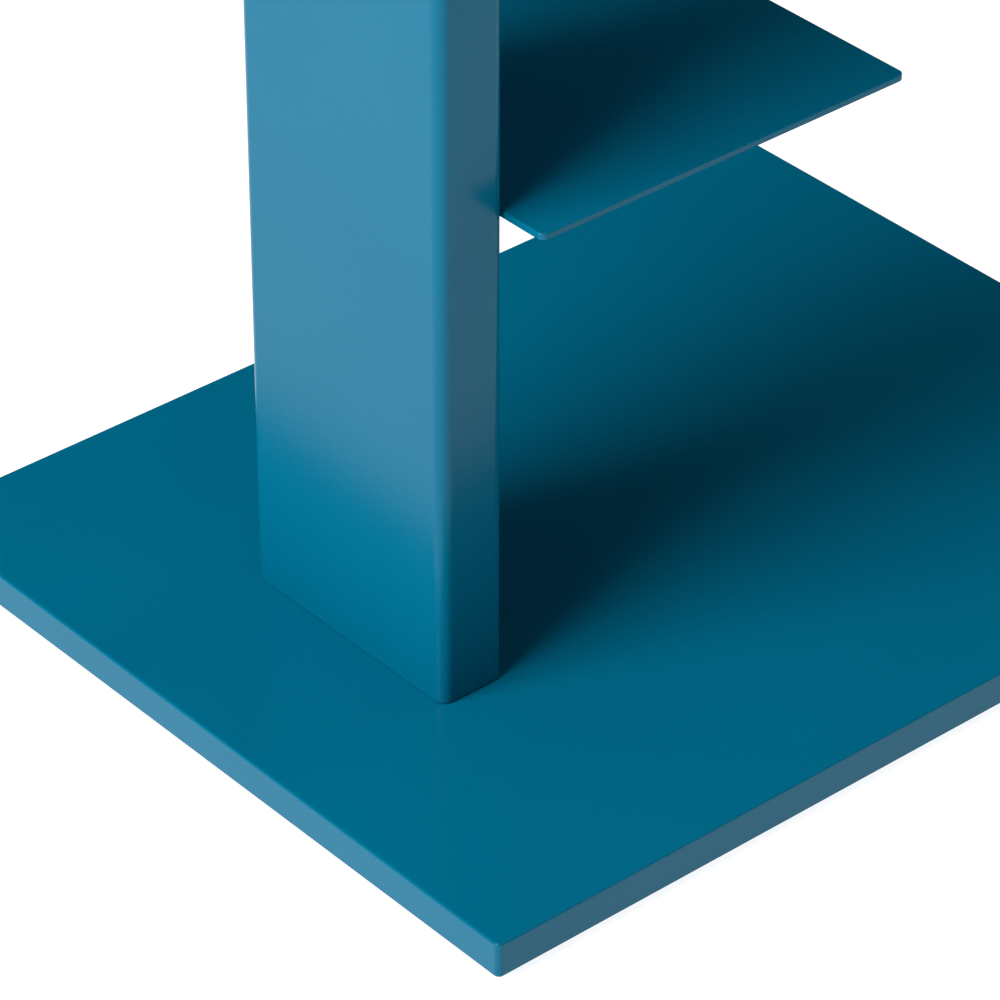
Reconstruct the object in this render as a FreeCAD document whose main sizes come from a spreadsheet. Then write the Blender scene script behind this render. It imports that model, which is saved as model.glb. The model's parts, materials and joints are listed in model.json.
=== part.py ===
"""Free-standing column bookshelf: a heavy base plate, a flat rectangular column and seven thin
shelves that hook into keyholes in the column's front wall.

Frame: millimetres, +Z up. The origin is on the floor, under the centre of the base plate. The
shelves reach towards -Y, which is the front, and the column stands near the back edge.
"""

import FreeCAD, Part
import math
import os

import Sketcher
from FreeCAD import Placement, Rotation, Vector

SHELF_COUNT = 7
SCREW_COUNT = 3
CORNERS = {
    "front_left": (-1, -1),
    "front_right": (1, -1),
    "back_left": (-1, 1),
    "back_right": (1, 1),
}

# The driving dimensions, in millimetres and degrees.
DIMENSIONS = {
    # base plate: cut from 15 mm steel plate
    "base_width": 350,
    "base_depth": 445,
    "base_thick": 15,
    "base_corner": 2.5,
    "base_edge": 1.0,
    "floor_gap": 4,
    # column: folded from 2 mm sheet and seam-welded
    "column_width": 112,
    "column_depth": 30,
    "column_height": 1600,
    "column_corner": 5,
    "column_wall": 2,
    "column_setback": 75,
    # shelves: cut and folded from 3 mm sheet
    "shelf_width": 152,
    "shelf_depth": 177,
    "shelf_thick": 3,
    "shelf_corner": 3,
    "first_shelf": 202.5,
    "shelf_pitch": 200,
    "flange_width": 90,
    "flange_drop": 42,
    "flange_corner": 6,
    "bend_inner": 2,
    "relief_width": 1.5,
    "relief_depth": 6,
    # hanging studs and the keyholes that take them
    "stud_spread": 56,
    "stud_drop": 20,
    "stud_neck": 5,
    "stud_head": 9,
    "stud_head_thick": 2,
    "stud_chamfer": 0.6,
    "stud_gap": 0.2,
    "keyhole_slot": 5.3,
    "keyhole_entry": 9.8,
    "lift_travel": 9,
    # block welded into the column's foot, and the screws that hold it down
    "block_height": 22,
    "weld_gap": 0.1,
    "screw_pitch": 36,
    "screw_size": 8,
    "screw_length": 30,
    "screw_tip": 1,
    "screw_head": 15.6,
    "head_sunk": 0.3,
    "head_land": 0.2,
    "seat_gap": 0.1,
    "screw_bore": 9,
    "thread_gap": 0.05,
    "hex_key": 5,
    "hex_depth": 2.6,
    # plug in the column's top
    "cap_thick": 3,
    "cap_edge": 1,
    "cap_skirt": 14,
    "cap_gap": 0.2,
    # threaded insert for a wall strap
    "anchor_height": 1500,
    "anchor_body": 9,
    "anchor_flange": 12,
    "anchor_flange_thick": 0.8,
    "anchor_bulge": 11,
    "anchor_bulge_length": 4,
    "anchor_length": 13,
    "anchor_thread": 5,
    # levelling glides
    "glide_inset": 35,
    "foot_width": 25,
    "foot_height": 6,
    "foot_chamfer": 0.8,
    "foot_floor": 1.8,
    "foot_key_hole": 5,
    "swivel_width": 11,
    "swivel_thick": 1.5,
    "swivel_gap": 0.15,
    "thread_size": 8,
    "thread_engaged": 5.3,
    "thread_depth": 8,
    "recess_width": 28,
    "recess_depth": 5,
    "glide_key": 4,
    "glide_key_depth": 3.5,
}

doc = FreeCAD.newDocument("column_bookshelf")


def make_sheet():
    """Puts every driving dimension in a cell of its own, under its name."""
    sheet = doc.addObject("Spreadsheet::Sheet", "Dimensions")
    for row, (name, value) in enumerate(DIMENSIONS.items(), start=1):
        sheet.set(f"A{row}", name)
        sheet.set(f"B{row}", str(value))
        sheet.setAlias(f"B{row}", name)
    doc.recompute()
    return sheet


sheet = make_sheet()


def bind(thing, prop, formula):
    """Binds a property to a formula over the sheet's names, written with a leading $."""
    thing.setExpression(prop, formula.replace("$", "Dimensions."))


def worth(name):
    """The value of one cell."""
    return float(sheet.get(name))


def new_body(name):
    body = doc.addObject("PartDesign::Body", name)
    body.Label = name
    body.AllowCompound = True
    return body


def origin_plane(body, role):
    return next(f for f in body.Origin.OriginFeatures if f.Role == role)


def new_sketch(body, name, plane, offset=None):
    """A sketch on one of the body's own planes, moved along its normal by a formula."""
    sketch = body.newObject("Sketcher::SketchObject", name)
    sketch.AttachmentSupport = [(origin_plane(body, plane), "")]
    sketch.MapMode = "FlatFace"
    if offset:
        bind(sketch, "AttachmentOffset.Base.z", offset)
    return sketch


def size(sketch, constraint, name, formula):
    """Adds a dimension to a sketch and binds it to the sheet."""
    index = sketch.addConstraint(constraint)
    sketch.renameConstraint(index, name)
    bind(sketch, f"Constraints.{name}", formula)


def rectangle(sketch, tag, left, right, bottom, top):
    """A rectangle whose four sides lie at formulas measured from the sketch's origin."""
    first = sketch.GeometryCount
    spots = [Vector(-10, -10), Vector(10, -10), Vector(10, 10), Vector(-10, 10)]
    for i in range(4):
        sketch.addGeometry(Part.LineSegment(spots[i], spots[(i + 1) % 4]), False)
    for i in range(4):
        following = first + (i + 1) % 4
        sketch.addConstraint(Sketcher.Constraint("Coincident", first + i, 2, following, 1))
    for i in (0, 2):
        sketch.addConstraint(Sketcher.Constraint("Horizontal", first + i))
        sketch.addConstraint(Sketcher.Constraint("Vertical", first + i + 1))
    size(sketch, Sketcher.Constraint("DistanceX", -1, 1, first, 1, -10.0), tag + "_left", left)
    size(sketch, Sketcher.Constraint("DistanceX", -1, 1, first + 1, 2, 10.0), tag + "_right", right)
    size(sketch, Sketcher.Constraint("DistanceY", -1, 1, first, 1, -10.0), tag + "_bottom", bottom)
    size(sketch, Sketcher.Constraint("DistanceY", -1, 1, first + 2, 1, 10.0), tag + "_top", top)


def circle(sketch, tag, across, up, diameter):
    """A circle whose centre and diameter are formulas."""
    index = sketch.GeometryCount
    sketch.addGeometry(Part.Circle(Vector(3, 3), Vector(0, 0, 1), 2), False)
    size(sketch, Sketcher.Constraint("DistanceX", -1, 1, index, 3, 3.0), tag + "_x", across)
    size(sketch, Sketcher.Constraint("DistanceY", -1, 1, index, 3, 3.0), tag + "_y", up)
    size(sketch, Sketcher.Constraint("Diameter", index, 4.0), tag + "_d", diameter)


def outline(sketch, points):
    """A closed outline of straight sides. Each point is a pair of formulas from the origin."""
    first = sketch.GeometryCount
    count = len(points)
    guess = [(evaluate(a), evaluate(b)) for a, b in points]
    for i in range(count):
        start, end = Vector(*guess[i]), Vector(*guess[(i + 1) % count])
        sketch.addGeometry(Part.LineSegment(start, end), False)
    for i in range(count):
        following = first + (i + 1) % count
        sketch.addConstraint(Sketcher.Constraint("Coincident", first + i, 2, following, 1))
        across, up = points[i]
        for axis, formula, value in (("X", across, guess[i][0]), ("Y", up, guess[i][1])):
            tag = f"p{i}{axis.lower()}"
            size(sketch, Sketcher.Constraint(f"Distance{axis}", -1, 1, first + i, 1, value), tag, formula)


def evaluate(formula):
    """The number that a formula over the sheet's names gives, for a sketch's first guess."""
    return float(sheet.evalExpression(formula.replace("$", "")))


def pad(body, sketch, name, length, backwards=False):
    feature = body.newObject("PartDesign::Pad", name)
    feature.Profile = sketch
    feature.Reversed = backwards
    bind(feature, "Length", length)
    sketch.Visibility = False
    doc.recompute()
    return feature


def pocket(body, sketch, name, length, backwards=False):
    """Cuts a sketch into the body, and stops the build if it cut nothing."""
    before = body.Shape.Volume
    feature = body.newObject("PartDesign::Pocket", name)
    feature.Profile = sketch
    feature.Reversed = backwards
    bind(feature, "Length", length)
    doc.recompute()
    if not feature.Shape.Volume < before - 1e-3:
        raise RuntimeError(f"{body.Name}.{name} cuts nothing")
    return feature


def revolve(body, sketch, name, kind="Revolution", axis="V_Axis"):
    feature = body.newObject("PartDesign::" + kind, name)
    feature.Profile = sketch
    feature.ReferenceAxis = (sketch, [axis])
    feature.Angle = 360
    doc.recompute()
    return feature


def edges_of(shape, test):
    """The names of the edges that pass a test."""
    return [f"Edge{i}" for i, edge in enumerate(shape.Edges, start=1) if test(edge)]


def fillet(body, name, radius, test):
    """Rounds the edges of the body's tip that pass a test."""
    base = body.Tip
    names = edges_of(base.Shape, test)
    if not names:
        raise RuntimeError(f"{body.Name}.{name} finds no edge")
    feature = body.newObject("PartDesign::Fillet", name)
    feature.Base = (base, names)
    bind(feature, "Radius", radius)
    doc.recompute()
    return feature


def is_upright(edge):
    ends = [v.Point for v in edge.Vertexes]
    return len(ends) == 2 and (ends[1] - ends[0]).cross(Vector(0, 0, 1)).Length < 1e-6


def all_at(edge, axis, value):
    """True if the whole edge lies on one plane across an axis."""
    box = edge.BoundBox
    low, high = {
        "x": (box.XMin, box.XMax),
        "y": (box.YMin, box.YMax),
        "z": (box.ZMin, box.ZMax),
    }[axis]
    return abs(low - value) < 1e-4 and abs(high - value) < 1e-4


# Places that several sub-parts share, as formulas over the sheet's names.
COLUMN_FRONT = "$base_depth / 2 - $column_setback - $column_depth"
COLUMN_MIDDLE = "$base_depth / 2 - $column_setback - $column_depth / 2"
BASE_TOP = "$floor_gap + $base_thick"


def screw_place(i):
    """How far the column screw number i lies from the middle, along X."""
    return f"{i - (SCREW_COUNT - 1) // 2} * $screw_pitch"


# ---------------------------------------------------------------------------------- base plate


def make_base_plate():
    """Steel plate. Its underside has countersunk holes for the column's screws, and a recess and
    a blind threaded hole for each glide."""
    body = new_body("base_plate")
    blank = new_sketch(body, "plate_outline", "XY_Plane")
    half_wide, half_deep = "$base_width / 2", "$base_depth / 2"
    rectangle(blank, "plate", f"-{half_wide}", half_wide, f"-{half_deep}", half_deep)
    pad(body, blank, "plate", "$base_thick")
    fillet(body, "corners", "$base_corner", is_upright)
    thick = worth("base_thick")
    fillet(body, "soft_edges", "$base_edge", lambda e: all_at(e, "z", 0) or all_at(e, "z", thick))

    for name, depth, diameter in (
        ("glide_recess", "$recess_depth", "$recess_width"),
        ("glide_thread", "$recess_depth + $thread_depth", "$thread_size + 2 * $thread_gap"),
    ):
        sketch = new_sketch(body, name + "_sketch", "XY_Plane")
        for corner, (side, end) in CORNERS.items():
            across = f"{side} * ($base_width / 2 - $glide_inset)"
            along = f"{end} * ($base_depth / 2 - $glide_inset)"
            circle(sketch, corner, across, along, diameter)
        pocket(body, sketch, name, depth, backwards=True)

    bores = new_sketch(body, "screw_bore_sketch", "XY_Plane")
    for i in range(SCREW_COUNT):
        circle(bores, f"bore{i}", screw_place(i), COLUMN_MIDDLE, "$screw_bore")
    pocket(body, bores, "screw_bores", "$base_thick", backwards=True)

    # A 90 degree cone is as high as its radius. Its tip is inside the bore, where it cuts nothing.
    radius = "$screw_head / 2 + $head_sunk + $head_land + $seat_gap"
    for i in range(SCREW_COUNT):
        sink = new_sketch(body, f"sink_profile_{i}", "XZ_Plane", f"-({COLUMN_MIDDLE})")
        middle = screw_place(i)
        outline(sink, [(middle, radius), (middle, "0"), (f"{middle} + {radius}", "0")])
        before = body.Shape.Volume
        revolve(body, sink, f"sink_{i}", kind="Groove", axis="Edge1")
        if not body.Shape.Volume < before - 1:
            raise RuntimeError("a countersink cuts nothing")
    bind(body, "Placement.Base.z", "$floor_gap")
    return body


# -------------------------------------------------------------------------------------- column


def place_on_column(body, height):
    """Puts a body's origin on the plane of the column's front face, at a height."""
    bind(body, "Placement.Base.y", COLUMN_FRONT)
    bind(body, "Placement.Base.z", height)


def make_column_tube():
    """Rectangular tube with two keyholes for each shelf in its front wall, and one round hole for
    the wall strap's insert in its back wall."""
    body = new_body("column_tube")
    outer = new_sketch(body, "outer_outline", "XY_Plane")
    half = "$column_width / 2"
    rectangle(outer, "outer", f"-{half}", half, "0", "$column_depth")
    pad(body, outer, "blank", "$column_height")
    fillet(body, "outer_bends", "$column_corner", is_upright)
    inner = new_sketch(body, "inner_outline", "XY_Plane")
    inner_half = "($column_width / 2 - $column_wall)"
    rectangle(
        inner, "inner", f"-{inner_half}", inner_half, "$column_wall", "$column_depth - $column_wall"
    )
    pocket(body, inner, "hollow", "$column_height", backwards=True)
    wall, depth = worth("column_wall"), worth("column_depth")
    inner_edge = worth("column_width") / 2 - wall
    fillet(
        body,
        "inner_bends",
        "$column_corner - $column_wall",
        lambda e: is_upright(e)
        and (all_at(e, "x", inner_edge) or all_at(e, "x", -inner_edge))
        and (all_at(e, "y", wall) or all_at(e, "y", depth - wall)),
    )
    keyholes = new_sketch(body, "keyhole_outline", "XZ_Plane")
    for tag, side in (("left", -1), ("right", 1)):
        across = f"{side} * $stud_spread / 2"
        circle(keyholes, tag + "_seat", across, "$first_shelf - $stud_drop", "$keyhole_slot")
    seats = pocket(body, keyholes, "keyhole_seats", "2 * $column_wall")
    slots = new_sketch(body, "slot_outline", "XZ_Plane")
    for tag, side in (("left", -1), ("right", 1)):
        left = f"{side} * $stud_spread / 2 - $keyhole_slot / 2"
        right = f"{side} * $stud_spread / 2 + $keyhole_slot / 2"
        bottom = "$first_shelf - $stud_drop"
        rectangle(slots, tag, left, right, bottom, bottom + " + $lift_travel")
    narrow = pocket(body, slots, "keyhole_slots", "2 * $column_wall")
    entries = new_sketch(body, "entry_outline", "XZ_Plane")
    for tag, side in (("left", -1), ("right", 1)):
        across = f"{side} * $stud_spread / 2"
        height = "$first_shelf - $stud_drop + $lift_travel"
        circle(entries, tag, across, height, "$keyhole_entry")
    wide = pocket(body, entries, "keyhole_entries", "2 * $column_wall")
    before = body.Shape.Volume
    rows = body.newObject("PartDesign::LinearPattern", "keyhole_rows")
    rows.Originals = [seats, narrow, wide]
    rows.Direction = (keyholes, ["V_Axis"])
    rows.Mode = "Spacing"
    rows.Occurrences = SHELF_COUNT
    bind(rows, "Offset", "$shelf_pitch")
    body.Tip = rows
    doc.recompute()
    if not rows.Shape.Volume < before - 1:
        raise RuntimeError("the keyhole pattern cuts nothing")
    anchor = new_sketch(body, "anchor_outline", "XZ_Plane", "-($column_depth - 2 * $column_wall)")
    circle(anchor, "anchor", "0", "$anchor_height", "$anchor_body + 2 * $thread_gap")
    pocket(body, anchor, "anchor_hole", "3 * $column_wall")
    place_on_column(body, BASE_TOP)
    return body


def make_foot_block():
    """Steel bar welded into the column's foot, drilled for the screws from below."""
    body = new_body("foot_block")
    blank = new_sketch(body, "block_outline", "XY_Plane")
    half = "($column_width / 2 - $column_wall - $weld_gap)"
    near = "$column_wall + $weld_gap"
    rectangle(blank, "block", f"-{half}", half, near, "$column_depth - $column_wall - $weld_gap")
    pad(body, blank, "block", "$block_height")
    fillet(body, "corners", "$column_corner - $column_wall", is_upright)
    threads = new_sketch(body, "thread_sketch", "XY_Plane")
    for i in range(SCREW_COUNT):
        width = "$screw_size + 2 * $thread_gap"
        circle(threads, f"thread{i}", screw_place(i), "$column_depth / 2", width)
    pocket(body, threads, "threads", "$block_height", backwards=True)
    place_on_column(body, BASE_TOP)
    return body


def make_column_screws():
    """Countersunk socket screws, heads down in the base plate and threads in the foot block."""
    body = new_body("column_screws")
    profile = new_sketch(body, "screw_profile", "XZ_Plane")
    low, top = "$head_sunk", "$head_sunk + $screw_length"
    edge, shank = "$screw_head / 2", "$screw_size / 2"
    land = "$head_sunk + $head_land"
    points = [
        ("0", low),
        (edge, low),
        (edge, land),
        (shank, f"{land} + {edge} - {shank}"),
        (shank, f"{top} - $screw_tip"),
        (f"{shank} - $screw_tip", top),
        ("0", top),
    ]
    outline(profile, points)
    turned = revolve(body, profile, "turned")
    socket = new_sketch(body, "socket_outline", "XY_Plane")
    hexagon(socket, "$hex_key")
    cut = pocket(body, socket, "socket", f"{low} + $hex_depth", backwards=True)
    rows = body.newObject("PartDesign::LinearPattern", "row")
    rows.Originals = [turned, cut]
    rows.Direction = (origin_plane(body, "X_Axis"), [""])
    rows.Mode = "Spacing"
    rows.Occurrences = SCREW_COUNT
    bind(rows, "Offset", "$screw_pitch")
    body.Tip = rows
    doc.recompute()
    bind(body, "Placement.Base.x", screw_place(0))
    bind(body, "Placement.Base.y", COLUMN_MIDDLE)
    bind(body, "Placement.Base.z", "$floor_gap")
    return body


def hexagon(sketch, across_flats):
    """A regular hexagon about the sketch's origin, for a key."""
    reach = f"({across_flats}) / sqrt(3)"
    points = [(f"{reach} * cos({60 * i} deg)", f"{reach} * sin({60 * i} deg)") for i in range(6)]
    outline(sketch, points)


def make_top_cap():
    """Plug that closes the column: a flat top the size of the tube, and a skirt inside it."""
    body = new_body("top_cap")
    plate = new_sketch(body, "top_outline", "XY_Plane")
    half = "$column_width / 2"
    rectangle(plate, "top", f"-{half}", half, "0", "$column_depth")
    pad(body, plate, "top", "$cap_thick")
    fillet(body, "corners", "$column_corner", is_upright)
    high = worth("cap_thick")
    fillet(body, "soft_edge", "$cap_edge", lambda e: all_at(e, "z", high))
    skirt = new_sketch(body, "skirt_outline", "XY_Plane")
    for tag, wall in (("outer", "$column_wall + $cap_gap"), ("inner", "2 * $column_wall + $cap_gap")):
        reach = f"($column_width / 2 - ({wall}))"
        rectangle(skirt, tag, f"-{reach}", reach, wall, f"$column_depth - ({wall})")
    pad(body, skirt, "skirt", "$cap_skirt", backwards=True)
    low = -worth("cap_skirt")
    outer = worth("column_width") / 2 - worth("column_wall") - worth("cap_gap")
    fillet(
        body,
        "skirt_corners",
        "$column_corner - $column_wall",
        lambda e: is_upright(e)
        and abs(e.BoundBox.ZMin - low) < 1e-4
        and (all_at(e, "x", outer) or all_at(e, "x", -outer)),
    )
    place_on_column(body, BASE_TOP + " + $column_height")
    return body


def make_anchor_nut():
    """Threaded rivet insert in the column's back wall, for a strap that holds the top to a wall."""
    body = new_body("anchor_nut")
    profile = new_sketch(body, "nut_profile", "XY_Plane")
    back = "$column_depth"
    wall = "$column_depth - $column_wall"
    inside = "$column_depth - $anchor_length"
    bore, barrel, rim = "$anchor_thread / 2", "$anchor_body / 2", "$anchor_flange / 2"
    bulge = "$anchor_bulge / 2"
    points = [
        (bore, inside),
        (barrel, inside),
        (barrel, f"{wall} - $anchor_bulge_length"),
        (bulge, f"{wall} - $anchor_bulge_length / 2"),
        (bulge, wall),
        (barrel, wall),
        (barrel, back),
        (rim, back),
        (rim, f"{back} + $anchor_flange_thick"),
        (bore, f"{back} + $anchor_flange_thick"),
    ]
    outline(profile, points)
    revolve(body, profile, "turned")
    place_on_column(body, BASE_TOP + " + $anchor_height")
    return body


# ------------------------------------------------------------------------------------- shelves


def make_shelf(number):
    """One shelf: a thin plate whose middle is folded down behind to lie on the column."""
    body = new_body(f"shelf_{number}")
    blank = new_sketch(body, "plate_outline", "XY_Plane")
    half = "$shelf_width / 2"
    rectangle(blank, "plate", f"-{half}", half, "-$shelf_depth", "0")
    pad(body, blank, "plate", "$shelf_thick", backwards=True)
    fillet(body, "corners", "$shelf_corner", is_upright)
    reliefs = new_sketch(body, "relief_outline", "XY_Plane")
    edge = "$flange_width / 2"
    for tag, near, far in (
        ("left", f"-{edge} - $relief_width", f"-{edge}"),
        ("right", edge, f"{edge} + $relief_width"),
    ):
        rectangle(reliefs, tag, near, far, "-$relief_depth", "0")
    pocket(body, reliefs, "reliefs", "$shelf_thick")
    flange = new_sketch(body, "flange_outline", "XZ_Plane")
    rectangle(flange, "flange", f"-{edge}", edge, "-$flange_drop", "0")
    pad(body, flange, "flange", "$shelf_thick")
    thick = worth("shelf_thick")
    reach = worth("flange_width") / 2

    def across_flange(e):
        return abs(e.BoundBox.XMax - reach) < 1e-3 and abs(e.BoundBox.XMin + reach) < 1e-3

    fillet(
        body,
        "bend_outside",
        "$bend_inner + $shelf_thick",
        lambda e: across_flange(e) and all_at(e, "y", 0) and all_at(e, "z", 0),
    )
    fillet(
        body,
        "bend_inside",
        "$bend_inner",
        lambda e: across_flange(e) and all_at(e, "y", -thick) and all_at(e, "z", -thick),
    )
    low = -worth("flange_drop")
    fillet(
        body,
        "flange_corners",
        "$flange_corner",
        lambda e: abs(e.BoundBox.ZMin - low) < 1e-4
        and abs(e.BoundBox.ZMax - low) < 1e-4
        and e.BoundBox.XLength < 1e-4,
    )
    place_on_column(body, shelf_height(number))
    return body


def shelf_height(number):
    """The height of a shelf's top face above the floor."""
    return f"{BASE_TOP} + $first_shelf + {number - 1} * $shelf_pitch"


def make_shelf_studs(number):
    """Two mushroom-headed studs, welded on the back of a shelf's flange."""
    body = new_body(f"shelf_studs_{number}")
    profile = new_sketch(body, "stud_profile", "XY_Plane")
    middle = "$stud_spread / 2"
    neck, head = f"{middle} + $stud_neck / 2", f"{middle} + $stud_head / 2"
    under = "$column_wall + $stud_gap"
    top = f"{under} + $stud_head_thick"
    points = [
        (middle, "0"),
        (neck, "0"),
        (neck, under),
        (head, under),
        (head, f"{top} - $stud_chamfer"),
        (f"{head} - $stud_chamfer", top),
        (middle, top),
    ]
    outline(profile, points)
    turned = revolve(body, profile, "turned", axis=f"Edge{len(points)}")
    pair = body.newObject("PartDesign::Mirrored", "pair")
    pair.Originals = [turned]
    pair.MirrorPlane = (origin_plane(body, "YZ_Plane"), [""])
    body.Tip = pair
    doc.recompute()
    place_on_column(body, f"{shelf_height(number)} - $stud_drop")
    return body


# -------------------------------------------------------------------------------------- glides


def glide_place(body, corner):
    side, end = CORNERS[corner]
    bind(body, "Placement.Base.x", f"{side} * ($base_width / 2 - $glide_inset)")
    bind(body, "Placement.Base.y", f"{end} * ($base_depth / 2 - $glide_inset)")


def make_glide_foot(corner):
    """Round nylon foot that the levelling screw swivels in. It stands on the floor."""
    body = new_body(f"glide_foot_{corner}")
    profile = new_sketch(body, "foot_profile", "XZ_Plane")
    rim, key = "$foot_width / 2", "$foot_key_hole / 2"
    pocket_edge = "$swivel_width / 2 + $swivel_gap"
    neck = "$thread_size / 2 + $swivel_gap"
    ceiling = "$foot_floor + $swivel_thick + 2 * $swivel_gap"
    points = [
        (key, "0"),
        (f"{rim} - $foot_chamfer", "0"),
        (rim, "$foot_chamfer"),
        (rim, "$foot_height - $foot_chamfer"),
        (f"{rim} - $foot_chamfer", "$foot_height"),
        (neck, "$foot_height"),
        (neck, ceiling),
        (pocket_edge, ceiling),
        (pocket_edge, "$foot_floor"),
        (key, "$foot_floor"),
    ]
    outline(profile, points)
    revolve(body, profile, "turned")
    glide_place(body, corner)
    return body


def make_glide_screw(corner):
    """Levelling screw: a threaded shank with a flange that the foot holds, and a key socket."""
    body = new_body(f"glide_screw_{corner}")
    profile = new_sketch(body, "screw_profile", "XZ_Plane")
    low = "$foot_floor + $swivel_gap"
    flange, shank = "$swivel_width / 2", "$thread_size / 2"
    top = "$floor_gap + $recess_depth + $thread_engaged"
    points = [
        ("0", low),
        (flange, low),
        (flange, f"{low} + $swivel_thick"),
        (shank, f"{low} + $swivel_thick"),
        (shank, f"{top} - $screw_tip"),
        (f"{shank} - $screw_tip", top),
        ("0", top),
    ]
    outline(profile, points)
    revolve(body, profile, "turned")
    socket = new_sketch(body, "socket_outline", "XY_Plane", "$foot_floor + $swivel_gap")
    hexagon(socket, "$glide_key")
    pocket(body, socket, "socket", "$glide_key_depth", backwards=True)
    glide_place(body, corner)
    return body


# ------------------------------------------------------------------------------ build and write


def build():
    parts = [
        make_base_plate(),
        make_column_tube(),
        make_foot_block(),
        make_column_screws(),
        make_top_cap(),
        make_anchor_nut(),
    ]
    for number in range(1, SHELF_COUNT + 1):
        parts += [make_shelf(number), make_shelf_studs(number)]
    for corner in CORNERS:
        parts += [make_glide_foot(corner), make_glide_screw(corner)]
    doc.recompute()
    return parts


def check(parts):
    """Stops the build if anything in the document failed or a part isn't a valid solid."""
    for thing in doc.Objects:
        if {"Invalid", "Error"} & set(thing.State):
            raise RuntimeError(f"{thing.Name} is {thing.State}")
    for part in parts:
        shape = part.Shape
        if shape.isNull() or not shape.isValid() or not shape.Solids:
            raise RuntimeError(f"{part.Label} has no valid solid")


def write(parts):
    os.makedirs("parts", exist_ok=True)
    for part in parts:
        part.Shape.exportStep(f"parts/{part.Label}.step")
        box = part.Shape.BoundBox
        print(
            f"{part.Label:26s} solids {len(part.Shape.Solids)}  "
            f"volume {part.Shape.Volume / 1000:9.2f} cm3  "
            f"x {box.XMin:7.1f} {box.XMax:7.1f}  y {box.YMin:7.1f} {box.YMax:7.1f}  "
            f"z {box.ZMin:7.1f} {box.ZMax:7.1f}"
        )


parts = build()
check(parts)
write(parts)
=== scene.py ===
import json
import math

import bmesh
import bpy
import numpy as np
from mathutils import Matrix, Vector


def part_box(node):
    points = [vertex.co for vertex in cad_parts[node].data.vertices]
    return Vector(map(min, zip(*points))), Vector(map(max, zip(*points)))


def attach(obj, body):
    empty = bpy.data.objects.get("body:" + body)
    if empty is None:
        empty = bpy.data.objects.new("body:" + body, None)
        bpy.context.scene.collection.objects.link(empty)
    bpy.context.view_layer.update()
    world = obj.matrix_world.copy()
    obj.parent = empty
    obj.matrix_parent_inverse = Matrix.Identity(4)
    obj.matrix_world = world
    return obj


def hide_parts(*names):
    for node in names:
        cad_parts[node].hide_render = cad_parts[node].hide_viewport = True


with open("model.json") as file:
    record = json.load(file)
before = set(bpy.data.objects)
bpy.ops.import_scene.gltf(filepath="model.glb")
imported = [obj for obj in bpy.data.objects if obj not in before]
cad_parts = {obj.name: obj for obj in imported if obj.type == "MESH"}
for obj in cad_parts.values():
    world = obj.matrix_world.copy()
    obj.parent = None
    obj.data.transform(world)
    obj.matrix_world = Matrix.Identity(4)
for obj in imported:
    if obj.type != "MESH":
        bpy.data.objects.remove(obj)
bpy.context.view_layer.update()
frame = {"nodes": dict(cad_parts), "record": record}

mm = 0.001
print("frame loaded:", len(frame["nodes"]), "nodes")


# Points of a rounded rectangle, anticlockwise: one quarter circle per corner, straight lines between.
def roundedRing(halfWide, halfDeep, radius, steps=12):
    angle = (np.arange(4)[:, None] + np.linspace(0, 1, steps + 1)) * math.pi / 2
    middle = np.array([[1, 1], [-1, 1], [-1, -1], [1, -1]]) * [halfWide - radius, halfDeep - radius]
    ring = middle[:, None] + radius * np.stack([np.cos(angle), np.sin(angle)], axis=-1)
    return ring.reshape(-1, 2)


# Each corner of a polyline gives way to an arc that touches both of its sides. The arc's centre is on
# the corner's bisector, r / sin(half the angle) away, and its points are turned about that centre.
def roundCorners(points, radii, closed=True, steps=6):
    points = np.asarray(points, float)
    count = len(points)
    made = []
    for i, radius in enumerate(radii):
        corner = points[i]
        if radius == 0 or (not closed and i in (0, count - 1)):
            made.append(corner[None])
            continue
        back, ahead = points[i - 1] - corner, points[(i + 1) % count] - corner
        back, ahead = back / np.hypot(*back), ahead / np.hypot(*ahead)
        angle = math.acos(np.clip(back @ ahead, -1, 1))
        reach = radius / math.tan(angle / 2)
        bisector = (back + ahead) / np.hypot(*(back + ahead))
        centre = corner + bisector * radius / math.sin(angle / 2)
        first, last = corner + back * reach - centre, corner + ahead * reach - centre
        turn = math.pi - angle
        share = np.linspace(0, 1, steps + 1)[:, None]
        arc = np.sin((1 - share) * turn) * first + np.sin(share * turn) * last
        made.append(centre + arc / math.sin(turn))
    return np.concatenate(made)


# Quads between neighbouring rings. Rings run anticlockwise seen from above and the rows climb the
# outside, so the faces point outwards. Lids close the first and the last ring. Start is the number of
# points that come before these in a mesh of several skins.
def skin(rings, lids=True, closed=False, start=0):
    rows, count = rings.shape[:2]
    row = np.arange(rows if closed else rows - 1)[:, None]
    col = np.arange(count)
    here, there = row * count, (row + 1) % rows * count
    following = (col + 1) % count
    quads = np.stack([here + col, here + following, there + following, there + col], axis=-1)
    faces = (quads.reshape(-1, 4) + start).tolist()
    if lids:
        faces.append((col[::-1] + start).tolist())
        faces.append((col + (rows - 1) * count + start).tolist())
    return rings.reshape(-1, 3), faces


# A closed outline carried up a profile of (inset, height): ring i is the outline, moved inwards by
# its inset along the outline's normals and lifted to its height.
def carried(outline, profile):
    outline = np.asarray(outline, float)
    along = np.roll(outline, -1, axis=0) - np.roll(outline, 1, axis=0)
    inward = np.stack([-along[:, 1], along[:, 0]], axis=-1) / np.hypot(*along.T)[:, None]
    flat = outline + inward * profile[:, :1, None]
    height = np.broadcast_to(profile[:, 1, None, None], flat.shape[:2] + (1,))
    return np.concatenate([flat, height], axis=-1)


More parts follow.
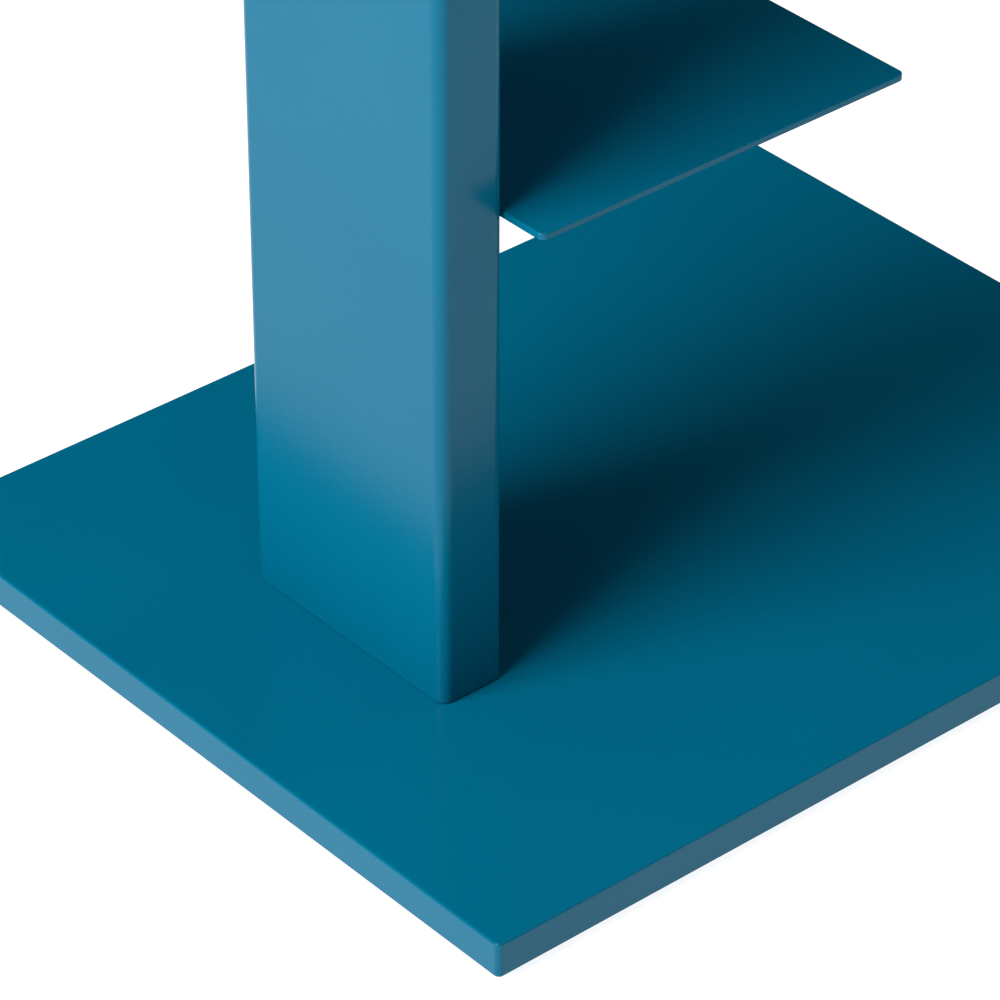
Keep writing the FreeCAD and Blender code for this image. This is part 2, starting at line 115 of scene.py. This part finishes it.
# A rounded rectangle carried up a profile of (inset, height). The corner's radius shrinks with the
# inset, so every ring keeps the same centre for its corners.
def carriedBox(halfWide, halfDeep, radius, profile, least=0.2 * mm):
    rings = [roundedRing(halfWide - i, halfDeep - i, max(radius - i, least)) for i, _ in profile]
    heights = np.array([z for _, z in profile])
    flat = np.array(rings)
    return np.concatenate([flat, np.broadcast_to(heights[:, None, None], flat.shape[:2] + (1,))], axis=-1)


# A profile of (radius, height) turned about the vertical through a centre. A radius may itself
# change round the turn, as on a hexagon or a thread.
def turned(radii, heights, centre=(0, 0), steps=48):
    angle = np.arange(steps) * 2 * math.pi / steps
    radius = np.stack([np.broadcast_to(r, steps) for r in radii])
    height = np.broadcast_to(np.asarray(heights, float)[:, None], radius.shape)
    return np.stack([centre[0] + radius * np.cos(angle), centre[1] + radius * np.sin(angle), height], axis=-1)


# Several sets of rings skinned as one mesh, each starting where the points before it end.
def skinTogether(ringSets):
    points, faces = [], []
    start = 0
    for rings in ringSets:
        more, moreFaces = skin(rings, start=start)
        points.append(more)
        faces += moreFaces
        start += len(more)
    return np.concatenate(points), faces


def makeMesh(name, points, faces):
    mesh = bpy.data.meshes.new(name)
    mesh.from_pydata(np.asarray(points).tolist(), [], faces)
    mesh.update()
    return mesh


def makeObject(name, mesh):
    piece = bpy.data.objects.new(name, mesh)
    bpy.context.scene.collection.objects.link(piece)
    return piece


# Takes the cutter's solids out of a mesh and gives back the new mesh.
def cutAway(mesh, cutterPoints, cutterFaces):
    body = makeObject("cutBody", mesh)
    tool = makeObject("cutTool", makeMesh("cutTool", cutterPoints, cutterFaces))
    cut = body.modifiers.new("cut", "BOOLEAN")
    cut.operation = "DIFFERENCE"
    cut.solver = "EXACT"
    cut.object = tool
    graph = bpy.context.evaluated_depsgraph_get()
    result = bpy.data.meshes.new_from_object(body.evaluated_get(graph))
    bpy.data.objects.remove(body)
    bpy.data.objects.remove(tool)
    return result


# Smooth shading that keeps flat faces flat: edges over the limit are sharp, and a corner's normal
# leans to its largest face.
def finishPiece(name, mesh, material, body, node, sharpAngle=40):
    mesh.name = name
    mesh.shade_smooth()
    mesh.set_sharp_from_angle(angle=math.radians(sharpAngle))
    mesh.materials.clear()
    mesh.materials.append(material)
    piece = makeObject(name, mesh)
    flatten = piece.modifiers.new("flatFacesStayFlat", "WEIGHTED_NORMAL")
    flatten.keep_sharp = True
    flatten.weight = 100
    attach(piece, body)
    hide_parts(node)
    return piece


def addNode(tree, kind, settings=None, links=None):
    node = tree.nodes.new(kind)
    for key, value in (settings or {}).items():
        if isinstance(key, int) or key in node.inputs:
            node.inputs[key].default_value = value
        else:
            setattr(node, key, value)
    for key, source in (links or {}).items():
        tree.links.new(source, node.inputs[key])
    return node


# sRGB hex to linear: below 0.04045 a straight line, above it ((c + 0.055) / 1.055) to the power 2.4
def linearColour(code):
    channels = np.array([int(code[i:i + 2], 16) for i in (0, 2, 4)]) / 255
    linear = np.where(channels <= 0.04045, channels / 12.92, ((channels + 0.055) / 1.055) ** 2.4)
    return (*linear.tolist(), 1.0)


def newMaterial(name):
    material = bpy.data.materials.new(name)
    material.use_nodes = True
    tree = material.node_tree
    tree.nodes.clear()
    output = tree.nodes.new("ShaderNodeOutputMaterial")
    return material, tree, output


# Noise frequency for a feature of a real size, where Object coordinates are in metres.
def perMetre(millimetres):
    return 1000 / millimetres


# The middle of a noise, 0.3 to 0.7, spread evenly about a value.
def spreadAbout(tree, noise, value, spread):
    span = {"From Min": 0.3, "From Max": 0.7, "To Min": value - spread, "To Max": value + spread}
    return addNode(tree, "ShaderNodeMapRange", span, {"Value": noise.outputs["Fac"]}).outputs["Result"]


powderCoat = {
    "colour": "00607D",
    "thinColour": "00627F",
    "roughness": 0.2,
    "roughnessSpread": 0.02,
    "orangePeel": 2.6,      # mm between the swells of the flowed-out powder
    "peelHeight": 0.06,     # mm
    "grain": 0.9,           # mm, coarser than the real 0.1 mm grain so that it shows
    "grainHeight": 0.04,    # mm
    "specular": 0.157,
}


# Polyester powder coat, baked on steel. The powder flows out to a satin skin with a faint orange
# peel, so highlights are broad and soft, and the colour stays even with a slight cloudiness.
def makePowderCoat(name, look):
    material, tree, output = newMaterial(name)
    place = addNode(tree, "ShaderNodeTexCoord").outputs["Object"]
    cloud = addNode(tree, "ShaderNodeTexNoise", {"Scale": perMetre(90), "Detail": 3.0}, {"Vector": place})
    colour = addNode(tree, "ShaderNodeValToRGB", links={"Fac": cloud.outputs["Fac"]})
    colour.color_ramp.elements[0].position = 0.35
    colour.color_ramp.elements[1].position = 0.65
    colour.color_ramp.elements[0].color = linearColour(look["colour"])
    colour.color_ramp.elements[1].color = linearColour(look["thinColour"])
    swells = {"Scale": perMetre(look["orangePeel"]), "Detail": 2.0}
    peel = addNode(tree, "ShaderNodeTexNoise", swells, {"Vector": place})
    grains = {"Scale": perMetre(look["grain"]), "Detail": 2.0}
    grain = addNode(tree, "ShaderNodeTexNoise", grains, {"Vector": place})
    rough = spreadAbout(tree, grain, look["roughness"], look["roughnessSpread"])
    swell = addNode(
        tree,
        "ShaderNodeBump",
        {"Distance": look["peelHeight"] * mm, "Strength": 1.0},
        {"Height": peel.outputs["Fac"]},
    )
    relief = addNode(
        tree,
        "ShaderNodeBump",
        {"Distance": look["grainHeight"] * mm, "Strength": 1.0},
        {"Height": grain.outputs["Fac"], "Normal": swell.outputs["Normal"]},
    )
    shader = addNode(
        tree,
        "ShaderNodeBsdfPrincipled",
        {"Metallic": 0.0, "IOR": 1.5, "Specular IOR Level": look["specular"]},
        {
            "Base Color": colour.outputs["Color"],
            "Roughness": rough,
            "Normal": relief.outputs["Normal"],
        },
    )
    tree.links.new(shader.outputs["BSDF"], output.inputs["Surface"])
    return material


mouldedCap = {"colour": "046A87", "roughness": 0.5, "grain": 0.8, "grainHeight": 0.006}


# Polypropylene, moulded against a spark-eroded steel face in the coat's colour: a matt, finely
# pitted skin, a little darker than the paint beside it.
def makeMouldedPlastic(name, look):
    material, tree, output = newMaterial(name)
    place = addNode(tree, "ShaderNodeTexCoord").outputs["Object"]
    fine = {"Scale": perMetre(look["grain"]), "Detail": 4.0}
    pits = addNode(tree, "ShaderNodeTexNoise", fine, {"Vector": place})
    tone = addNode(tree, "ShaderNodeHueSaturation", {"Color": linearColour(look["colour"])})
    tree.links.new(spreadAbout(tree, pits, 1.0, 0.07), tone.inputs["Value"])
    rough = spreadAbout(tree, pits, look["roughness"], 0.06)
    relief = addNode(
        tree,
        "ShaderNodeBump",
        {"Distance": look["grainHeight"] * mm, "Strength": 1.0},
        {"Height": pits.outputs["Fac"]},
    )
    shader = addNode(
        tree,
        "ShaderNodeBsdfPrincipled",
        {"Metallic": 0.0, "IOR": 1.49, "Specular IOR Level": 0.4},
        {
            "Base Color": tone.outputs["Color"],
            "Roughness": rough,
            "Normal": relief.outputs["Normal"],
        },
    )
    tree.links.new(shader.outputs["BSDF"], output.inputs["Surface"])
    return material


zincPlate = {"colour": "C3C8CE", "warmColour": "B9B5A4", "roughness": 0.34, "bloom": 5.0, "streak": 0.25}


# Steel with a bright electroplated zinc skin: cool silver with a faint straw tint where the passivated
# layer is thicker, and fine turning lines from the lathe round each screw.
def makeZincPlate(name, look):
    material, tree, output = newMaterial(name)
    place = addNode(tree, "ShaderNodeTexCoord").outputs["Object"]
    fine = {"Scale": perMetre(look["bloom"]), "Detail": 3.0}
    bloom = addNode(tree, "ShaderNodeTexNoise", fine, {"Vector": place})
    colour = addNode(tree, "ShaderNodeValToRGB", links={"Fac": bloom.outputs["Fac"]})
    colour.color_ramp.elements[0].position = 0.4
    colour.color_ramp.elements[1].position = 0.7
    colour.color_ramp.elements[0].color = linearColour(look["colour"])
    colour.color_ramp.elements[1].color = linearColour(look["warmColour"])
    stretch = addNode(tree, "ShaderNodeMapping", {"Scale": (0.15, 0.15, 1.0)}, {"Vector": place})
    lines = addNode(
        tree, "ShaderNodeTexNoise", {"Scale": perMetre(look["streak"])}, {"Vector": stretch.outputs["Vector"]}
    )
    rough = spreadAbout(tree, lines, look["roughness"], 0.08)
    shader = addNode(
        tree,
        "ShaderNodeBsdfPrincipled",
        {"Metallic": 1.0},
        {"Base Color": colour.outputs["Color"], "Roughness": rough},
    )
    tree.links.new(shader.outputs["BSDF"], output.inputs["Surface"])
    return material


bareSteel = {"colour": "9A9A9B", "scaleColour": "5F5A57", "roughness": 0.45, "streak": 0.6, "patch": 14.0}


# Cold-drawn bar, sawn to length: grey metal with drawing lines and darker patches of thin scale.
def makeBareSteel(name, look):
    material, tree, output = newMaterial(name)
    place = addNode(tree, "ShaderNodeTexCoord").outputs["Object"]
    fine = {"Scale": perMetre(look["patch"]), "Detail": 4.0}
    patch = addNode(tree, "ShaderNodeTexNoise", fine, {"Vector": place})
    colour = addNode(tree, "ShaderNodeValToRGB", links={"Fac": patch.outputs["Fac"]})
    colour.color_ramp.elements[0].position = 0.45
    colour.color_ramp.elements[1].position = 0.75
    colour.color_ramp.elements[0].color = linearColour(look["colour"])
    colour.color_ramp.elements[1].color = linearColour(look["scaleColour"])
    stretch = addNode(tree, "ShaderNodeMapping", {"Scale": (0.05, 1.0, 1.0)}, {"Vector": place})
    lines = addNode(
        tree, "ShaderNodeTexNoise", {"Scale": perMetre(look["streak"])}, {"Vector": stretch.outputs["Vector"]}
    )
    rough = spreadAbout(tree, lines, look["roughness"], 0.1)
    shader = addNode(
        tree,
        "ShaderNodeBsdfPrincipled",
        {"Metallic": 1.0},
        {"Base Color": colour.outputs["Color"], "Roughness": rough},
    )
    tree.links.new(shader.outputs["BSDF"], output.inputs["Surface"])
    return material


mouldedNylon = {"colour": "1B1B1D", "roughness": 0.55, "grain": 0.7, "grainHeight": 0.01}

coatMaterial = makePowderCoat("satinPowderCoatPetrol", powderCoat)
capMaterial = makeMouldedPlastic("mouldedPolypropylenePetrol", mouldedCap)
nylonMaterial = makeMouldedPlastic("mouldedNylonBlack", mouldedNylon)
zincMaterial = makeZincPlate("brightZincPlate", zincPlate)
steelMaterial = makeBareSteel("drawnSteelBar", bareSteel)
print("materials made")


def holderOf(node):
    for body, members in frame["record"]["behaviour"]["bodies"].items():
        if node in members:
            return body


slotOf = {row["node"]: row["material_slot"] for row in frame["record"]["subparts"]}
materialOf = {
    "powder_coat": coatMaterial,
    "moulded_cap": capMaterial,
    "bare_steel": steelMaterial,
    "zinc_plated_steel": zincMaterial,
    "moulded_nylon": nylonMaterial,
}


def finishFor(node, name, mesh, sharpAngle=40):
    slot = slotOf[node]
    return finishPiece(name, mesh, materialOf[slot], holderOf(node), node, sharpAngle)


basePlate = {
    "cornerRadius": 2.5 * mm,
    "edgeRadius": 1.0 * mm,
    "recessRadius": 14 * mm,
    "recessDepth": 5 * mm,
    "threadRadius": 4.05 * mm,
    "threadDepth": 8 * mm,
    "boreRadius": 4.5 * mm,
    "sinkRadius": 8.4 * mm,
    "screwPitch": 36 * mm,
    "clear": 2 * mm,          # how far a cutter stands out of what it cuts
    "steps": 72,
}
corners = [node[len("glide_foot_"):] for node in frame["nodes"] if node.startswith("glide_foot_")]


def middleOf(node):
    low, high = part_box(node)
    return (low + high) / 2


# A rounded rectangle with softened edges top and bottom. Each recess, thread hole and countersunk bore
# is a turned shape that starts below the plate and is cut out of it.
def makeBasePlate(look):
    low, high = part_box("base_plate")
    half = (high - low) / 2
    edge = look["edgeRadius"]
    corner = [(2 * edge, low.z), (0, low.z), (0, high.z), (2 * edge, high.z)]
    profile = roundCorners(corner, [0, edge, edge, 0], closed=False)
    plate = makeMesh("plate", *skin(carriedBox(half.x, half.y, look["cornerRadius"], profile)))
    under = low.z - look["clear"]
    cutters = []
    for name in corners:
        spot = middleOf("glide_foot_" + name)
        floor = low.z + look["recessDepth"]
        radii = [look["recessRadius"]] * 2 + [look["threadRadius"]] * 2
        heights = [under, floor, floor, floor + look["threadDepth"]]
        cutters.append(turned(radii, heights, (spot.x, spot.y), look["steps"]))
    screws = middleOf("column_screws")
    for step in (-1, 0, 1):
        bore, sink = look["boreRadius"], look["sinkRadius"]
        radii = [sink + look["clear"], bore, bore]
        heights = [under, low.z + sink - bore, high.z + look["clear"]]
        place = (screws.x + step * look["screwPitch"], screws.y)
        cutters.append(turned(radii, heights, place, look["steps"]))
    return finishFor("base_plate", "basePlate", cutAway(plate, *skinTogether(cutters)))


column = {
    "cornerRadius": 5 * mm,
    "wall": 2 * mm,
    "rimRadius": 0.9 * mm,
    "seatRadius": 2.65 * mm,
    "entryRadius": 4.9 * mm,
    "lift": 9 * mm,
    "studSpread": 56 * mm,
    "anchorRadius": 4.55 * mm,
    "anchorSteps": 48,
}
shelfNumbers = sorted(int(node[len("shelf_"):]) for node in frame["nodes"] if node[len("shelf_"):].isdigit())


# A keyhole: half a circle the width of the slot at the bottom, straight sides up, and most of a
# larger circle at the top, which starts where it is as wide as the slot.
def keyholeOutline(look, steps=16):
    seat, entry = look["seatRadius"], look["entryRadius"]
    lower = np.linspace(math.pi, 2 * math.pi, steps)
    start = math.asin(seat / entry) - math.pi / 2
    upper = np.linspace(start, math.pi - start, 2 * steps)
    return np.concatenate(
        [
            seat * np.stack([np.cos(lower), np.sin(lower)], axis=-1),
            entry * np.stack([np.cos(upper), np.sin(upper)], axis=-1) + [0, look["lift"]],
        ]
    )


# The wall's section is a closed loop of (inset, height) with a small radius at each of the four rims,
# carried round a rounded rectangle. Keyholes and the round wall hole are cut through.
def makeColumn(look):
    low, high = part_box("column_tube")
    half, middle = (high - low) / 2, (high + low) / 2
    wall, rim = look["wall"], look["rimRadius"]
    section = roundCorners([(wall, low.z), (0, low.z), (0, high.z), (wall, high.z)], [rim] * 4, steps=4)
    rings = carriedBox(half.x, half.y, look["cornerRadius"], section) + [middle.x, middle.y, 0]
    tube = makeMesh("tube", *skin(rings, lids=False, closed=True))
    outline = keyholeOutline(look)
    cutters = []
    for number in shelfNumbers:
        studs = middleOf(f"shelf_studs_{number}")
        for side in (-1, 1):
            across = middle.x + side * look["studSpread"] / 2
            loop = np.stack([across + outline[:, 0], 0 * outline[:, 0], studs.z + outline[:, 1]], axis=-1)
            rows = np.stack([loop + [0, low.y + wall + rim, 0], loop + [0, low.y - rim, 0]])
            cutters.append(rows)
    nut = middleOf("anchor_nut")
    turn = np.linspace(0, 2 * math.pi, look["anchorSteps"], endpoint=False)
    loop = np.stack([np.cos(turn), 0 * turn, np.sin(turn)], axis=-1) * look["anchorRadius"]
    rows = np.stack([loop + [nut.x, high.y + rim, nut.z], loop + [nut.x, high.y - wall - rim, nut.z]])
    cutters.append(rows)
    return finishFor("column_tube", "columnTube", cutAway(tube, *skinTogether(cutters)))


shelf = {
    "thick": 3 * mm,
    "cornerRadius": 3 * mm,
    "edgeRadius": 0.6 * mm,
    "bendRadius": 5 * mm,      # outside of the bend
    "flangeHalf": 45 * mm,
    "flangeCorner": 6 * mm,
    "notchWide": 1.5 * mm,
    "notchDeep": 6 * mm,
    "bendRows": 12,
}


# The sheet is drawn flat and then folded. Flat, it is an outline with softened edges, where x runs
# across and s from the front edge to the flange's end. Past the bend's start, s turns to an angle
# about the bend's axis and then to a drop, at a radius that falls with the depth in the sheet.
def makeShelf(number, look):
    low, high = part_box(f"shelf_{number}")
    halfWide, deep, drop = (high.x - low.x) / 2, high.y - low.y, high.z - low.z
    outside, thick, edge = look["bendRadius"], look["thick"], look["edgeRadius"]
    bendStart = deep - outside
    bendLong = outside * math.pi / 2
    end = bendStart + bendLong + drop - outside
    flange, notch = look["flangeHalf"], look["flangeHalf"] + look["notchWide"]
    floor = deep - look["notchDeep"]
    right = [(halfWide, 0), (halfWide, deep), (notch, deep), (notch, floor), (flange, floor), (flange, end)]
    left = [(-x, s) for x, s in right[::-1]]
    small = look["notchWide"] * 0.49
    corner = look["cornerRadius"]
    radii = [corner, corner, look["edgeRadius"] * 1.2, small, small, look["flangeCorner"]]
    outline = roundCorners(right + left, radii + radii[::-1], steps=8)
    section = [(2 * edge, -thick), (0, -thick), (0, 0), (2 * edge, 0)]
    profile = roundCorners(section, [0, edge, edge, 0], closed=False)
    sheet = bmesh.new()
    flat = makeMesh("flat", *skin(carried(outline, profile)))
    sheet.from_mesh(flat)
    bpy.data.meshes.remove(flat)
    for s in np.linspace(bendStart, bendStart + bendLong, look["bendRows"] + 1):
        everything = sheet.verts[:] + sheet.edges[:] + sheet.faces[:]
        bmesh.ops.bisect_plane(sheet, geom=everything, plane_co=(0, s, 0), plane_no=(0, 1, 0), dist=1e-7)
    mesh = bpy.data.meshes.new("sheet")
    sheet.to_mesh(mesh)
    sheet.free()
    place = np.empty(len(mesh.vertices) * 3, np.float32)
    mesh.vertices.foreach_get("co", place)
    x, s, depth = place.reshape(-1, 3).astype(float).T
    angle = np.clip((s - bendStart) / bendLong, 0, 1) * math.pi / 2
    past = np.maximum(s - bendStart - bendLong, 0)
    radius = outside + depth
    folded = np.abs(x) < (flange + notch) / 2
    along = np.where(folded & (s > bendStart), bendStart + radius * np.sin(angle), s)
    fall = np.where(folded & (s > bendStart), radius * np.cos(angle) - outside - past, depth)
    place = np.stack([x + (low.x + high.x) / 2, low.y + along, high.z + fall], axis=-1)
    mesh.vertices.foreach_set("co", place.astype(np.float32).ravel())
    mesh.update()
    return finishFor(f"shelf_{number}", f"shelf{number}", mesh)


topCap = {
    "cornerRadius": 5 * mm,
    "edgeRadius": 1.0 * mm,
    "under": 0.3 * mm,
    "thick": 3 * mm,
    "skirtInset": 2.2 * mm,
    "skirtWall": 2 * mm,
}


# One profile of (inset, height) carried round the column's outline: up the skirt's inside, over its
# foot, out under the lid, up the softened edge and in over the top.
def makeTopCap(look):
    low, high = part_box("top_cap")
    half, middle = (high - low) / 2, (high + low) / 2
    lid = high.z - look["thick"]
    inner = look["skirtInset"] + look["skirtWall"]
    corner = [
        (inner, lid),
        (inner, low.z),
        (look["skirtInset"], low.z),
        (look["skirtInset"], lid),
        (0, lid),
        (0, high.z),
        (2 * look["edgeRadius"], high.z),
    ]
    small = look["under"]
    profile = roundCorners(corner, [0, small, small, small, small, look["edgeRadius"], 0], closed=False)
    rings = carriedBox(half.x, half.y, look["cornerRadius"], profile) + [middle.x, middle.y, 0]
    return finishFor("top_cap", "topCap", makeMesh("cap", *skin(rings)))


glideFoot = {
    "keyRadius": 2.5 * mm,
    "floor": 1.8 * mm,
    "pocketRadius": 5.65 * mm,
    "ceiling": 3.6 * mm,
    "neckRadius": 4.15 * mm,
    "rimRadius": 0.8 * mm,
    "small": 0.25 * mm,
    "steps": 72,
}


# A closed section of (radius, height) turned about the screw's line: the foot's round rim outside,
# and inside it the pocket that holds the screw's flange, open to the key below.
def makeGlideFoot(name, look):
    node = "glide_foot_" + name
    low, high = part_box(node)
    rim = (high.x - low.x) / 2
    section = [
        (look["keyRadius"], low.z),
        (rim, low.z),
        (rim, high.z),
        (look["neckRadius"], high.z),
        (look["neckRadius"], low.z + look["ceiling"]),
        (look["pocketRadius"], low.z + look["ceiling"]),
        (look["pocketRadius"], low.z + look["floor"]),
        (look["keyRadius"], low.z + look["floor"]),
    ]
    small, soft = look["small"], look["rimRadius"]
    loop = roundCorners(section, [small, soft, soft, small, small, small, small, small])
    middle = middleOf(node)
    rings = turned(loop[:, 0], loop[:, 1], (middle.x, middle.y), look["steps"])
    return finishFor(node, "glideFoot_" + name, makeMesh("foot", *skin(rings, lids=False, closed=True)))


thread = {"radius": 4 * mm, "pitch": 1.25 * mm, "depth": 0.7 * mm, "rowsPerPitch": 10, "steps": 48}


# Rows of a right-hand thread: the radius at an angle and a height is the crest's radius less the
# depth times a flat-topped zigzag of (height / pitch - angle / full turn). Both ends fade out, and the
# tip follows a cone.
def threadRows(start, end, tip, look):
    angle = np.arange(look["steps"]) * 2 * math.pi / look["steps"]
    heights = np.arange(start, end, look["pitch"] / look["rowsPerPitch"])
    heights = np.append(heights, end)
    phase = (heights[:, None] / look["pitch"] - angle / (2 * math.pi)) % 1
    zigzag = np.clip(1.3 * np.abs(2 * phase - 1) - 0.15, 0, 1)
    fade = np.clip((heights - start) / look["pitch"], 0, 1)[:, None]
    radius = look["radius"] - look["depth"] * zigzag * fade
    cone = look["radius"] - np.clip(heights - (end - tip), 0, None)
    return np.minimum(radius, cone[:, None]), heights


# The radius of a hexagon, flats apart, at each angle round the turn.
def hexagonRadius(flats, steps):
    angle = np.arange(steps) * 2 * math.pi / steps
    return flats / 2 / np.cos((angle + math.pi / 6) % (math.pi / 3) - math.pi / 6)


glideScrew = {
    "key": 4 * mm,
    "keyDeep": 3.5 * mm,
    "flangeThick": 1.5 * mm,
    "soft": 0.2 * mm,
    "tip": 1 * mm,
    "sharpAngle": 35,
}


# From the socket's floor down its six sides, out over the flange, up to the thread and in at the tip.
def makeGlideScrew(name, look):
    node = "glide_screw_" + name
    low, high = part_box(node)
    flange = (high.x - low.x) / 2
    socket = hexagonRadius(look["key"], thread["steps"])
    shoulder = low.z + look["flangeThick"]
    soft = look["soft"]
    rim = roundCorners(
        [(thread["radius"] * 0.75, low.z), (flange, low.z), (flange, shoulder), (thread["radius"], shoulder)],
        [0, soft, soft, 0],
        closed=False,
        steps=4,
    )
    rows, heights = threadRows(shoulder + soft, high.z, look["tip"], thread)
    radii = [socket, socket, *rim[:, 0], *rows]
    levels = [low.z + look["keyDeep"], low.z, *rim[:, 1], *heights]
    middle = middleOf(node)
    rings = turned(radii, levels, (middle.x, middle.y), thread["steps"])
    return finishFor(node, "glideScrew_" + name, makeMesh("screw", *skin(rings)), look["sharpAngle"])


columnScrew = {
    "head": 7.8 * mm,
    "land": 0.2 * mm,
    "key": 5 * mm,
    "keyDeep": 2.6 * mm,
    "plain": 5 * mm,
    "tip": 1 * mm,
    "sharpAngle": 35,
}


# Countersunk socket screws: the socket, the flat face, a narrow land, the cone of one to one slope, a
# short plain neck and the thread, three side by side.
def makeColumnScrews(look):
    low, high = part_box("column_screws")
    middle = middleOf("column_screws")
    socket = hexagonRadius(look["key"], thread["steps"])
    land = low.z + look["land"]
    neck = land + look["head"] - thread["radius"]
    rows, heights = threadRows(neck + look["plain"], high.z, look["tip"], thread)
    radii = [socket, socket, look["head"], look["head"], thread["radius"], *rows]
    levels = [low.z + look["keyDeep"], low.z, low.z, land, neck, *heights]
    screws = [
        turned(radii, levels, (middle.x + step * basePlate["screwPitch"], middle.y), thread["steps"])
        for step in (-1, 0, 1)
    ]
    mesh = makeMesh("screws", *skinTogether(screws))
    return finishFor("column_screws", "columnScrews", mesh, look["sharpAngle"])


makeBasePlate(basePlate)
makeColumn(column)
makeTopCap(topCap)
print("base plate, column and cap made")
for number in shelfNumbers:
    makeShelf(number, shelf)
print("shelves made:", len(shelfNumbers))
for name in corners:
    makeGlideFoot(name, glideFoot)
    makeGlideScrew(name, glideScrew)
makeColumnScrews(columnScrew)
print("glides and screws made")

# Sealed or tiny fittings keep their own shape and take a finish.
for node in ["foot_block", "anchor_nut"] + [f"shelf_studs_{number}" for number in shelfNumbers]:
    for holder in frame["nodes"][node].material_slots:
        holder.material = materialOf[slotOf[node]]


studio = {
    "keyDirection": (0.0, 0.81, 0.59),
    "keyDistance": 3.0,
    "keyWide": 1.7,
    "keyTall": 2.6,
    "keyPower": 142,
    "topHeight": 3.6,
    "topSize": 4.2,
    "topPower": 39,
    "fillDirection": (-0.2, -1.0, 0.12),
    "fillDistance": 3.2,
    "fillSize": 1.8,
    "fillPower": 36,
    "aim": (0.0, 0.0, 0.2),
    "skyLight": 0.005,
    "floorLight": 0.9,
    "floorColour": "A0A0A0",
    "floorSize": 30,
}


def addLamp(name, place, direction, wide, tall, power):
    light = bpy.data.lights.new(name, "AREA")
    light.shape = "RECTANGLE"
    light.size = wide
    light.size_y = tall
    light.energy = power
    lamp = bpy.data.objects.new(name, light)
    bpy.context.scene.collection.objects.link(lamp)
    lamp.location = place
    lamp.rotation_euler = direction.to_track_quat("Z", "Y").to_euler()


# A wide soft box behind the column, a larger and weaker one overhead, a faint one low in front, and a
# floor that glows evenly like a light table, so that it stays white and upright faces mirror it.
def makeStudio(look):
    world = bpy.data.worlds.new("studioWorld")
    bpy.context.scene.world = world
    world.use_nodes = True
    tree = world.node_tree
    tree.nodes.clear()
    sky = {"Color": linearColour("E6EDF2"), "Strength": look["skyLight"]}
    dim = addNode(tree, "ShaderNodeBackground", sky)
    seen = addNode(tree, "ShaderNodeBackground", {"Color": linearColour("FFFFFF"), "Strength": 1.0})
    path = addNode(tree, "ShaderNodeLightPath")
    mix = addNode(
        tree,
        "ShaderNodeMixShader",
        {},
        {0: path.outputs["Is Camera Ray"], 1: dim.outputs["Background"], 2: seen.outputs["Background"]},
    )
    addNode(tree, "ShaderNodeOutputWorld", links={"Surface": mix.outputs["Shader"]})

    size = look["floorSize"] / 2
    corner = [(-size, -size, 0), (size, -size, 0), (size, size, 0), (-size, size, 0)]
    floor = makeObject("floor", makeMesh("floor", corner, [[0, 1, 2, 3]]))
    material, tree, output = newMaterial("paleFloor")
    shader = addNode(
        tree,
        "ShaderNodeBsdfPrincipled",
        {
            "Base Color": linearColour(look["floorColour"]),
            "Roughness": 0.9,
            "Specular IOR Level": 0.1,
            "Emission Color": linearColour("FFFFFF"),
            "Emission Strength": look["floorLight"],
        },
    )
    tree.links.new(shader.outputs["BSDF"], output.inputs["Surface"])
    floor.data.materials.append(material)

    aim = Vector(look["aim"])
    key = Vector(look["keyDirection"]).normalized()
    place = aim + key * look["keyDistance"]
    addLamp("keyLight", place, key, look["keyWide"], look["keyTall"], look["keyPower"])
    above = Vector((0, 0, 1))
    addLamp("topLight", above * look["topHeight"], above, look["topSize"], look["topSize"], look["topPower"])
    fill = Vector(look["fillDirection"]).normalized()
    place = aim + fill * look["fillDistance"]
    addLamp("fillLight", place, fill, look["fillSize"], look["fillSize"], look["fillPower"])


shot = {
    "place": (-1.23071, 1.12922, 1.16055),
    "aim": (0.03393, 0.04253, 0.019),
    "roll": math.radians(0.107),
    "lens": 185.13,
    "sensor": 36,
}


def makeCamera(look):
    camera = bpy.data.cameras.new("camera")
    camera.lens = look["lens"]
    camera.sensor_width = look["sensor"]
    camera.clip_start, camera.clip_end = 0.05, 100
    holder = bpy.data.objects.new("camera", camera)
    bpy.context.scene.collection.objects.link(holder)
    bpy.context.scene.camera = holder
    holder.location = look["place"]
    gaze = Vector(look["aim"]) - Vector(look["place"])
    turn = gaze.to_track_quat("-Z", "Y").to_matrix().to_4x4()
    holder.rotation_euler = turn.to_euler()
    holder.rotation_euler.rotate_axis("Z", look["roll"])


makeStudio(studio)
makeCamera(shot)
bpy.context.scene.view_settings.view_transform = "Standard"
print("studio and camera made")
